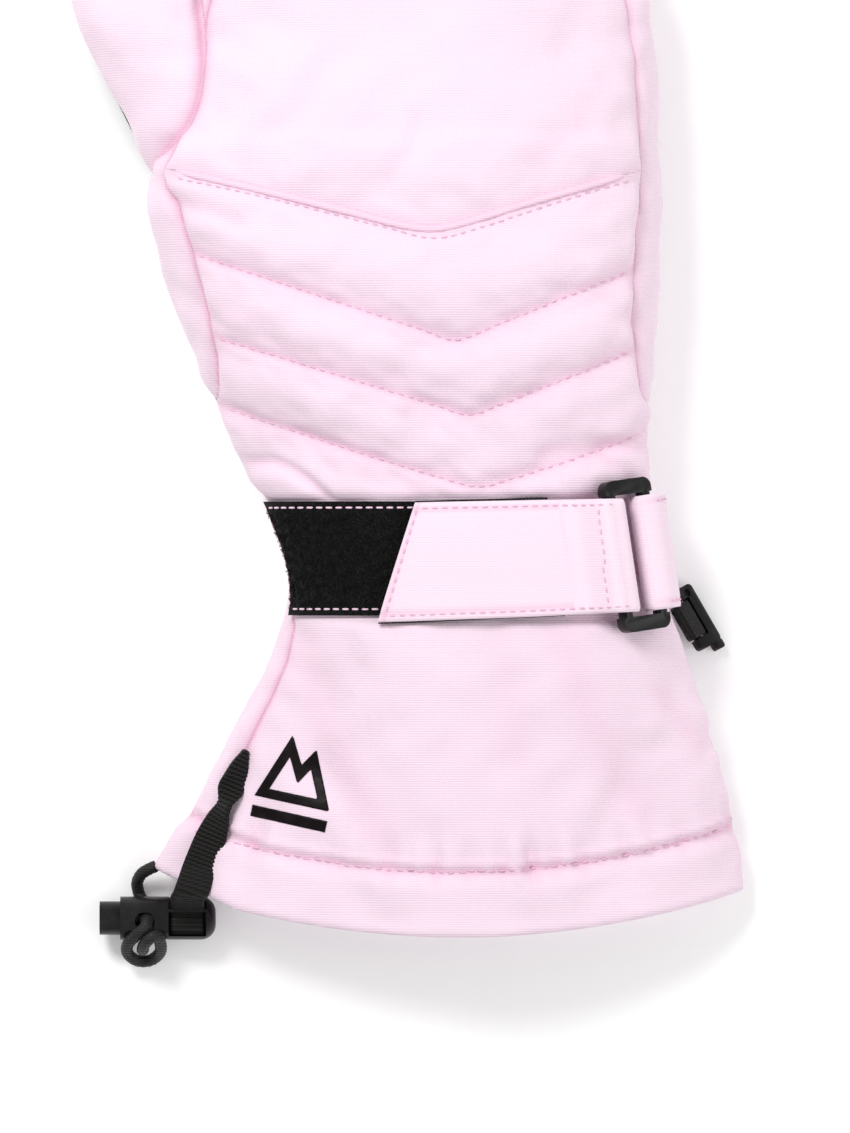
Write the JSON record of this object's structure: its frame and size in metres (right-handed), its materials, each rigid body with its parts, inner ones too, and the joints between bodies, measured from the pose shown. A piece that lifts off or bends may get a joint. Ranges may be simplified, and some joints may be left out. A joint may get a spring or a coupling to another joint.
{
  "type": "ski mitten",
  "caption": "Padded right-hand ski mitten with quilted back, wrist strap on a ring, flared gauntlet with hem drawcord and cord lock, and a clip for its pair.",
  "frame": {"origin": "on the resting plane, under the middle of the wrist, with the mitten lying palm down", "axes": "+Y from the wrist to the fingertips, +Z out of the back of the hand, +X to the outer side (little finger)"},
  "size_m": [0.1767, 0.3041, 0.0515],
  "materials": {
    "shell_fabric": "fine ribbed plain weave, matte, pale pink",
    "palm_leather": "black synthetic leather, fine grain",
    "print_film": "satin black heat-transfer film",
    "wadding": "white polyester wadding",
    "membrane": "thin translucent-white waterproof film",
    "fleece": "brushed pink fleece",
    "lining_cloth": "smooth pink lining cloth",
    "elastic_band": "white woven elastic",
    "loop_pile": "black fuzzy loop pile with a woven border",
    "hook_plastic": "black hook tape",
    "black_webbing": "black ribbed nylon webbing",
    "black_plastic": "black moulded plastic, satin",
    "elastic_cord": "black braided elastic cord",
    "spring_steel": "drawn spring wire"
  },
  "bodies": {
    "mitten": {"back_hand_panel": "shell_fabric", "knuckle_piping": "shell_fabric", "finger_back_panel": "shell_fabric", "thumb_side_gusset": "shell_fabric", "finger_side_gusset": "shell_fabric", "outer_side_gusset": "shell_fabric", "palm_panel": "shell_fabric", "palm_reinforcement": "palm_leather", "thumb_back_panel": "shell_fabric", "thumb_palm_panel": "palm_leather", "gauntlet_back_panel": "shell_fabric", "gauntlet_side_gusset": "shell_fabric", "gauntlet_palm_panel": "shell_fabric", "hem_band": "shell_fabric", "emblem": "print_film", "insulation": "wadding", "waterproof_insert": "membrane", "hand_lining": "fleece", "gauntlet_lining": "lining_cloth", "wrist_elastic": "elastic_band", "loop_patch": "loop_pile", "side_tab": "shell_fabric", "clip_webbing": "black_webbing", "lock_webbing": "black_webbing", "hem_drawcord": "elastic_cord", "drawcord_tail": "elastic_cord"},
    "ring": {"strap_ring": "black_plastic"},
    "strap": {"wrist_strap": "shell_fabric", "hook_tape": "hook_plastic"},
    "clip": {"mitten_clip": "black_plastic"},
    "lock": {"cord_lock_body": "black_plastic", "cord_lock_spring": "spring_steel", "lock_webbing_end": "black_webbing", "drawcord_knot": "elastic_cord"},
    "plunger": {"cord_lock_plunger": "black_plastic"}
  },
  "joints": [
    {"name": "ring_swing", "type": "hinge", "parent": "mitten", "child": "ring", "pos_m": [0.05228, 0.00197, 0.03191], "axis": [-0.1478, 0.989, 0], "range_deg": [0, 60]},
    {"name": "strap_peel", "type": "hinge", "parent": "ring", "child": "strap", "pos_m": [0.04332, 0.00063, 0.03849], "axis": [-0.1478, 0.989, 0], "range_deg": [0, 110]},
    {"name": "clip_flip", "type": "hinge", "parent": "mitten", "child": "clip", "pos_m": [0.0624, -0.016, 0.0053], "axis": [0.5, -0.866, 0], "range_deg": [0, 90]},
    {"name": "lock_swing", "type": "hinge", "parent": "mitten", "child": "lock", "pos_m": [-0.0687, -0.0886, 0.0158], "axis": [-1, 0, 0], "range_deg": [0, 60]},
    {"name": "plunger_press", "type": "slide", "parent": "lock", "child": "plunger", "axis": [1, 0, 0], "range_m": [0, 0.0026], "stiffness_N_per_m": 1500, "springref_m": -0.001, "deforming": ["cord_lock_spring"]}
  ]
}
